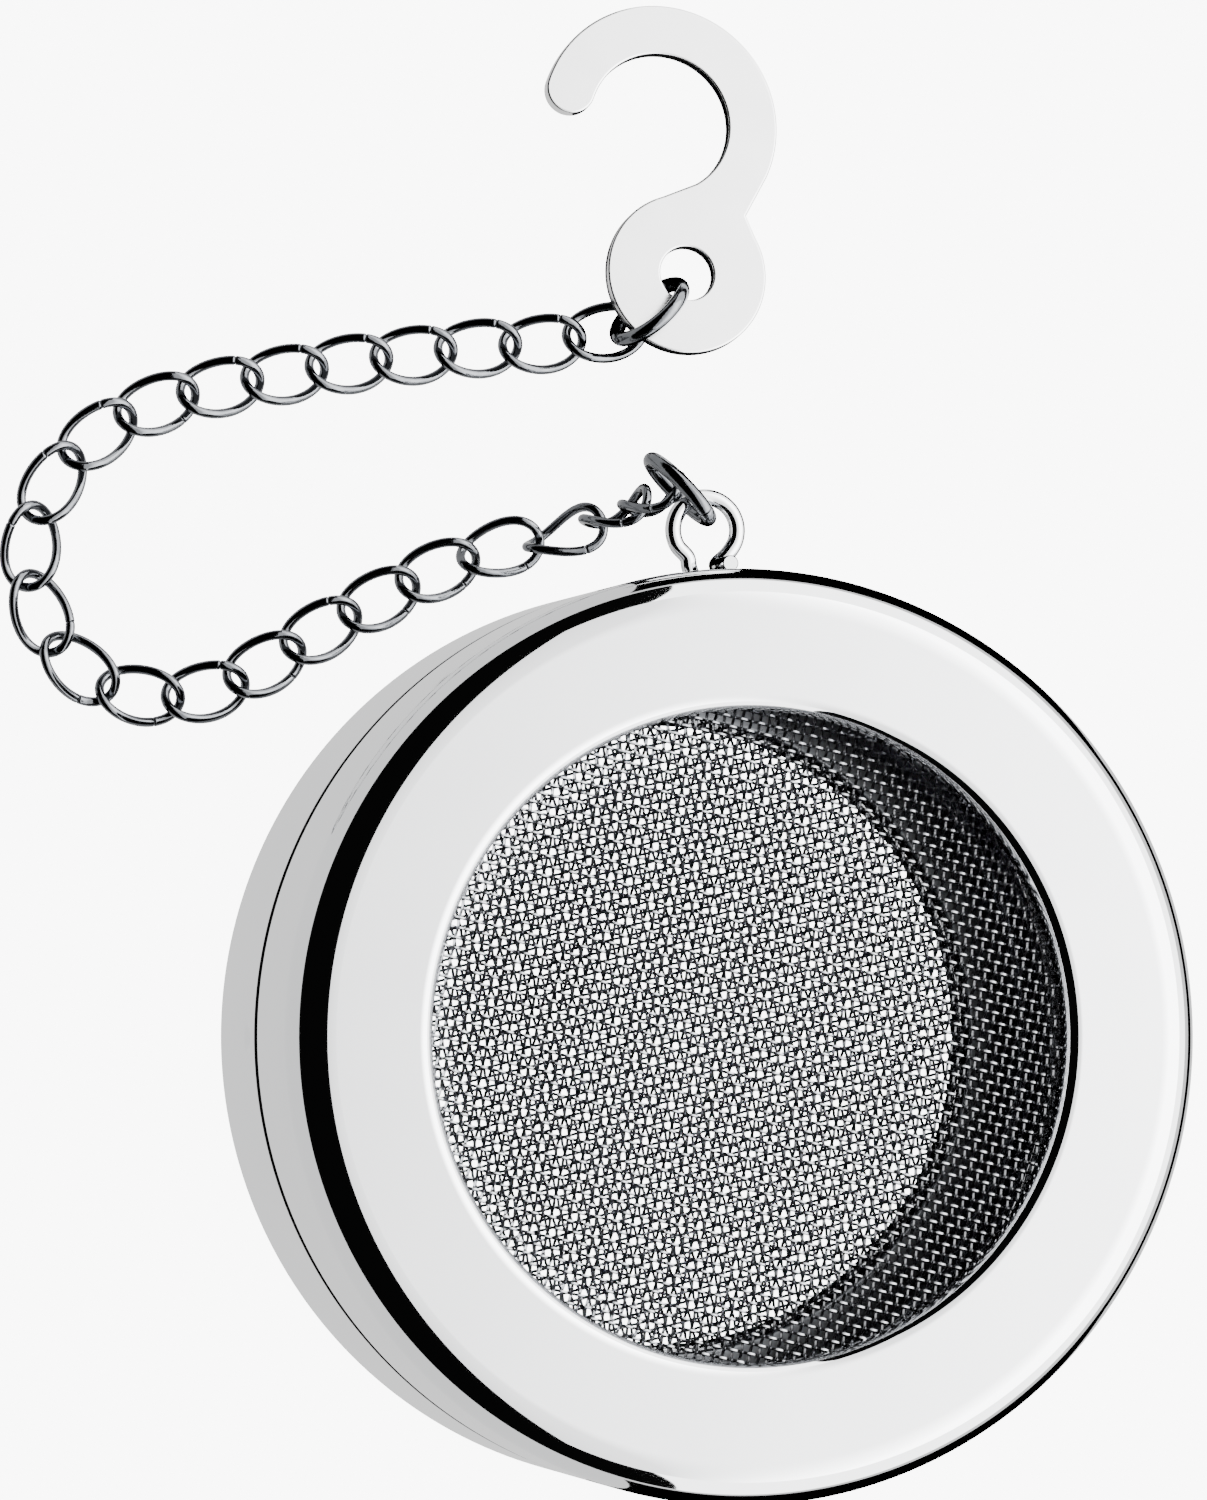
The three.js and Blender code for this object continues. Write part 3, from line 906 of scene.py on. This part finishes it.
@dataclass
class WireRing:
    """A closed ring or link of round wire with a butt joint in one long side."""

    length: float
    width: float
    wire: float
    twist: float = 0.0
    joint_turn: float = 90.0
    joint_width: float = 0.05
    joint_depth: float = 0.07
    joint_step: float = 0.02
    joint_reach: float = 0.07
    steps: int = 72
    sides: int = 16

    def build(self, name: str, node: str) -> bpy.types.Object:
        """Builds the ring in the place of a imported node.

        Args:
            name: object name.
            node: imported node.

        Returns:
            The ring. Its middle line is half the length by the cosine and half the width by
            the sine of the turn, and rises by the twist times the sine of twice the turn.
        """
        joint = np.radians(self.joint_turn)
        near = joint + np.array([-3, -1.6, -1, -0.6, 0, 0.6, 1, 1.6, 3]) * self.joint_step
        even = 2 * np.pi * np.arange(self.steps) / self.steps
        even = even[np.abs(np.angle(np.exp(1j * (even - joint)))) > self.joint_reach]
        turn = np.sort(np.concatenate((even, near)))
        line = np.column_stack((
            self.length / 2 * np.cos(turn),
            self.width / 2 * np.sin(turn),
            self.twist * np.sin(2 * turn),
        ))
        slope = np.column_stack((
            -self.length / 2 * np.sin(turn),
            self.width / 2 * np.cos(turn),
            2 * self.twist * np.cos(2 * turn),
        ))
        slope /= np.linalg.norm(slope, axis=1, keepdims=True)
        up = np.array([0.0, 0.0, 1.0])
        normals = up - slope * slope[:, 2:]
        normals /= np.linalg.norm(normals, axis=1, keepdims=True)
        away = np.abs(turn - joint) * self.length / 2
        notch = self.joint_depth * np.exp(-((away / self.joint_width) ** 2))
        middle, axes = node_frame(node)
        vertices, faces = rods(
            line @ axes.T + middle, normals @ axes.T, self.wire / 2 - notch, self.sides, True
        )
        return mesh_object(name, vertices, faces, 50)


@dataclass
class Chain:
    """The curb chain with the oval ring in the eye and the round ring in the hook."""

    link: WireRing = field(
        default_factory=lambda: WireRing(5.95, 3.74, 0.7, twist=0.7, joint_turn=62)
    )
    eye_ring: WireRing = field(
        default_factory=lambda: WireRing(6.4, 3.5, 1.1, joint_turn=20, sides=24)
    )
    hook_ring: WireRing = field(
        default_factory=lambda: WireRing(5.89, 5.89, 1.1, joint_turn=200, sides=24)
    )

    def build(self, material: bpy.types.Material) -> None:
        """Builds every link and both rings on their own bodies."""
        names = [f"chain_link_{i:02d}" for i in range(1, LINK_COUNT + 1)]
        pieces = [("eye_ring", self.eye_ring), ("hook_ring", self.hook_ring)]
        pieces += [(name, self.link) for name in names]
        for node, ring in pieces:
            place(ring.build(f"{node}_wire", node), node, Slot.CHAIN, material, node)


@dataclass
class Hook:
    """Flat stamped hook with softened edges."""

    sheet: float = 1.1
    hole: float = 2.0
    disc: float = 5.95
    bow_inner: float = 5.2
    bow_width: float = 3.65
    bow_shift: float = -1.65
    bow_from: float = -26.0
    bow_inner_to: float = -60.0
    disc_from: float = 106.0
    disc_to: float = 388.0
    tip_angle: float = 160.0
    notch_angle: float = 43.7
    notch_web: float = 0.42
    bevel: float = 0.16

    @property
    def bow_centre(self) -> tuple[float, float]:
        """Middle of the bow from the middle of the hole."""
        return self.bow_shift, self.disc + self.bow_inner + 0.1

    def outline(self) -> np.ndarray:
        """The plate's edge, anticlockwise from the notch."""
        x, y = self.bow_centre
        outer = self.bow_inner + self.bow_width
        middle = (outer + self.bow_inner) / 2
        tip = np.radians(self.tip_angle)
        notch = np.radians(self.notch_angle)
        reach = self.disc + self.notch_web
        cap_x, cap_y = x + middle * np.cos(tip), y + middle * np.sin(tip)
        half = self.bow_width / 2
        return np.vstack((
            [reach * np.cos(notch), reach * np.sin(notch)],
            arc(x, y, outer, self.bow_from, self.tip_angle, 90),
            arc(cap_x, cap_y, half, self.tip_angle, self.tip_angle + 180, 24)[1:-1],
            arc(x, y, self.bow_inner, self.tip_angle, self.bow_inner_to, 70),
            arc(0, 0, self.disc, self.disc_from, self.disc_to, 90),
        ))

    def plate(self) -> bpy.types.Mesh:
        """The flat plate with bevelled edges, about the hole, in metres.

        Returns:
            A mesh made from a filled outline that is thickened and rounded at its edges.
        """
        curve = bpy.data.curves.new("hook_outline", "CURVE")
        curve.dimensions = "2D"
        curve.fill_mode = "BOTH"
        curve.extrude = (self.sheet / 2 - self.bevel) * MM
        curve.bevel_depth = self.bevel * MM
        curve.bevel_resolution = 3
        curve.offset = -self.bevel * MM
        hole = arc(0, 0, self.hole, 0, 360, 48)[:-1]
        for line in (self.outline(), hole):
            poly = curve.splines.new("POLY")
            poly.points.add(len(line) - 1)
            flat = np.column_stack((line * MM, np.zeros(len(line)), np.ones(len(line))))
            poly.points.foreach_set("co", flat.astype(np.float32).ravel())
            poly.use_cyclic_u = True
        carrier = bpy.data.objects.new("hook_outline", curve)
        bpy.context.scene.collection.objects.link(carrier)
        graph = bpy.context.evaluated_depsgraph_get()
        mesh = bpy.data.meshes.new_from_object(carrier.evaluated_get(graph))
        bpy.data.objects.remove(carrier)
        return mesh

    def build(self, material: bpy.types.Material) -> None:
        """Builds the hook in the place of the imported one, tilted about X as that one is."""
        points = np.unique(np.round(node_points("hook"), 4), axis=0)
        _, _, axes = np.linalg.svd(points - points.mean(0), full_matrices=False)
        normal = axes[2] * np.sign(axes[2, 2])
        tilt = np.arctan2(-normal[1], normal[2])
        cosine, sine = np.cos(tilt), np.sin(tilt)
        turn = np.array([[1, 0, 0], [0, cosine, -sine], [0, sine, cosine]])
        flat = points @ turn
        outline = self.outline()
        shift = np.array([
            flat[:, 0].min() - outline[:, 0].min(),
            flat[:, 1].min() - outline[:, 1].min(),
            (flat[:, 2].min() + flat[:, 2].max()) / 2,
        ])
        mesh = self.plate()
        count = len(mesh.vertices)
        local = np.zeros(count * 3, np.float32)
        mesh.vertices.foreach_get("co", local)
        world = (local.reshape(-1, 3) + shift * MM) @ turn.T
        mesh.vertices.foreach_set("co", world.astype(np.float32).ravel())
        mesh.polygons.foreach_set("use_smooth", np.ones(len(mesh.polygons), bool))
        mesh.update()
        mesh.set_sharp_from_angle(angle=np.radians(30))
        plate = bpy.data.objects.new("hook_plate", mesh)
        bpy.context.scene.collection.objects.link(plate)
        place(plate, "hook", Slot.PLATE, material, "hook")


# ---------- studio ----------


class Seen(Enum):
    """What a stage surface is seen by."""

    NOT_IN_REFLECTIONS = "not in reflections"
    ONLY_IN_REFLECTIONS = "only in reflections"
    NOT_BY_CAMERA = "not by the camera"


@dataclass
class Studio:
    """White floor, ceiling and wall lights, floor cards that only metal sees, and the camera.

    Places are millimetres from the drum's axis at the floor. The dark card, painted shade of the
    floor round the drum, is an ellipse cut off at two turns; the dark disc, painted shade under
    the drum, lies under it, and the light patch lies beside it.
    """

    centre: np.ndarray
    camera_at: tuple[float, float, float] = (-120.7, 1.9, 490.7)
    camera_turn: tuple[float, float, float] = (2.21, -13.42, -0.25)
    lens: float = 165.5
    ceiling: float = 700.0
    reach: float = 900.0
    reach_right: float = 1700.0
    ceiling_edge: float = -150.0
    glow_at: tuple[tuple[float, float], ...] = ((-150, 2.3), (90, 2.8), (260, 6.5), (500, 10.0))
    floor_glow: float = 9.0
    floor_mirror_glow: float = 1.15
    floor_reach: float = 1500.0
    floor_z: float = -0.1
    # painted shade: the dark card round the drum and the dark disc under it, seen only in
    # reflections
    dark_x: float = 128.0
    dark_y: float = 300.0
    dark_turns: tuple[float, float] = (-100.0, 97.0)
    dark_cut: tuple[tuple[float, float], ...] = ((-4, 30), (-5, -30))
    dark_z: float = -0.05
    disc_radius: float = 31.0
    disc_z: float = -0.03
    patch: tuple[tuple[float, float], ...] = (
        (74, -30), (74, 30), (66, 40), (33, 30), (33, -30), (66, -40)
    )
    patch_z: float = -0.04
    wall_from: float = 60.0
    wall_glow: float = 5.0
    ambient: float = 0.003

    def card(
        self,
        name: str,
        corners: list[tuple[float, float, float]],
        glow: float,
        seen: Seen,
    ) -> bpy.types.Object:
        """A flat stage surface.

        Args:
            name: object name.
            corners: corners in order.
            glow: emission strength; 0 is matt black.
            seen: what sees it.

        Returns:
            The card.
        """
        shader = Shader(f"stage {name}")
        surface = shader.add("Emission", {"Color": linear("ffffff"), "Strength": glow})
        shader.add("OutputMaterial", {"Surface": surface.outputs[0]})
        mesh = bpy.data.meshes.new(name)
        points = (np.array(corners, float) + self.centre) * MM
        mesh.from_pydata(points.tolist(), [], [list(range(len(corners)))])
        card = bpy.data.objects.new(name, mesh)
        bpy.context.scene.collection.objects.link(card)
        card.data.materials.append(shader.material)
        if seen is Seen.NOT_IN_REFLECTIONS:
            card.visible_glossy = False
        if seen in (Seen.ONLY_IN_REFLECTIONS, Seen.NOT_BY_CAMERA):
            card.visible_camera = False
        if seen is Seen.ONLY_IN_REFLECTIONS:
            card.visible_diffuse = False
            card.visible_shadow = False
            card.visible_transmission = False
        return card

    def level(
        self, x0: float, y0: float, x1: float, y1: float, z: float
    ) -> list[tuple[float, float, float]]:
        """Corners of a level rectangle."""
        return [(x0, y0, z), (x1, y0, z), (x1, y1, z), (x0, y1, z)]

    def disc(self, radius: float, z: float) -> list[tuple[float, float, float]]:
        """Corners of a level disc about the drum's axis."""
        turn = np.radians(np.arange(0, 360, 6))
        return [(radius * np.cos(a), radius * np.sin(a), z) for a in turn]

    def build_ceiling(self) -> None:
        """The ceiling, brighter towards +X."""
        far, top = self.reach, self.ceiling
        peak = max(glow for _, glow in self.glow_at)
        corners = self.level(self.ceiling_edge, -far, self.reach_right, far, top)
        card = self.card("ceiling", corners, peak, Seen.NOT_BY_CAMERA)
        shader = Shader("stage ceiling")
        across = shader.add("SeparateXYZ", {0: shader.position()})
        ramp = shader.add("ValToRGB")
        low, high = self.glow_at[0][0], self.glow_at[-1][0]
        share = shader.add(
            "MapRange",
            {
                "Value": across.outputs["X"],
                "From Min": low + self.centre[0],
                "From Max": high + self.centre[0],
            },
        )
        elements = ramp.color_ramp.elements
        while len(elements) < len(self.glow_at):
            elements.new(0.5)
        for element, (place_x, glow) in zip(elements, self.glow_at, strict=True):
            element.position = (place_x - low) / (high - low)
            element.color = (glow / peak, glow / peak, glow / peak, 1)
        shader.tree.links.new(share.outputs["Result"], ramp.inputs["Fac"])
        surface = shader.add("Emission", {"Color": ramp.outputs["Color"], "Strength": peak})
        shader.add("OutputMaterial", {"Surface": surface.outputs[0]})
        card.data.materials[0] = shader.material

    def build_walls(self) -> None:
        """The light walls; the side towards -X is left open and dark."""
        start, right, far, top = self.wall_from, self.reach_right, self.reach, self.ceiling
        for name, x0, y0, x1, y1 in (
            ("side_far", start, far, right, far),
            ("side_near", start, -far, right, -far),
            ("side_right", right, -far, right, far),
        ):
            wall = [(x0, y0, 0.0), (x1, y1, 0.0), (x1, y1, top), (x0, y0, top)]
            self.card(name, wall, self.wall_glow, Seen.NOT_BY_CAMERA)

    def build(self) -> None:
        """Builds the floor, lights, cards and camera."""
        far, mirrored = self.floor_reach, self.floor_mirror_glow
        floor = self.level(-far, -far, far, far, self.floor_z)
        turn = np.radians(np.linspace(*self.dark_turns, 40))
        dark = [(self.dark_x * np.cos(a), self.dark_y * np.sin(a), self.dark_z) for a in turn]
        dark += [(x, y, self.dark_z) for x, y in self.dark_cut]
        disc = self.disc(self.disc_radius, self.disc_z)
        patch = [(x, y, self.patch_z) for x, y in self.patch]
        self.card("floor", floor, self.floor_glow, Seen.NOT_IN_REFLECTIONS)
        # painted shade round and under the drum, as black cards that only metal sees
        for name, corners, glow in (
            ("floor_in_metal", floor, mirrored),
            ("painted_shade_floor_card", dark, 0.0),
            ("painted_shade_under_drum", disc, 0.0),
            ("floor_beside_drum", patch, mirrored),
        ):
            self.card(name, corners, glow, Seen.ONLY_IN_REFLECTIONS)
        self.build_ceiling()
        self.build_walls()
        world = bpy.data.worlds.new("studio")
        bpy.context.scene.world = world
        world.use_nodes = True
        background = world.node_tree.nodes["Background"]
        background.inputs["Color"].default_value = linear("ffffff")
        background.inputs["Strength"].default_value = self.ambient
        camera = bpy.data.cameras.new("camera")
        camera.lens = self.lens
        camera.sensor_width = 36
        camera.clip_start = 0.01
        holder = bpy.data.objects.new("camera", camera)
        holder.location = (np.array(self.camera_at) + self.centre) * MM
        holder.rotation_euler = Euler(np.radians(self.camera_turn), "XYZ")
        bpy.context.scene.collection.objects.link(holder)
        bpy.context.scene.camera = holder


def main() -> None:
    """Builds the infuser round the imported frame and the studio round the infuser."""
    logging.basicConfig(level=logging.INFO)
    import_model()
    low, high = (np.array(corner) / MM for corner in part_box("back_shell"))
    centre = np.array([*((low + high) / 2)[:2], 0.0])
    finishes = {
        Slot.SHELL: MirrorSteel().build(),
        Slot.CLOTH: DrawnWire().build(),
        Slot.STRIP: RolledStrip().build(),
        Slot.CHAIN: ChromePaintedDarkReflection().build(),
        Slot.PLATE: StampedPlate().build(),
    }
    Drum(centre).build(finishes)
    Eye(centre).build(finishes[Slot.SHELL])
    Chain().build(finishes[Slot.CHAIN])
    Hook().build(finishes[Slot.PLATE])
    Studio(centre).build()


if __name__ == "__main__":
    main()
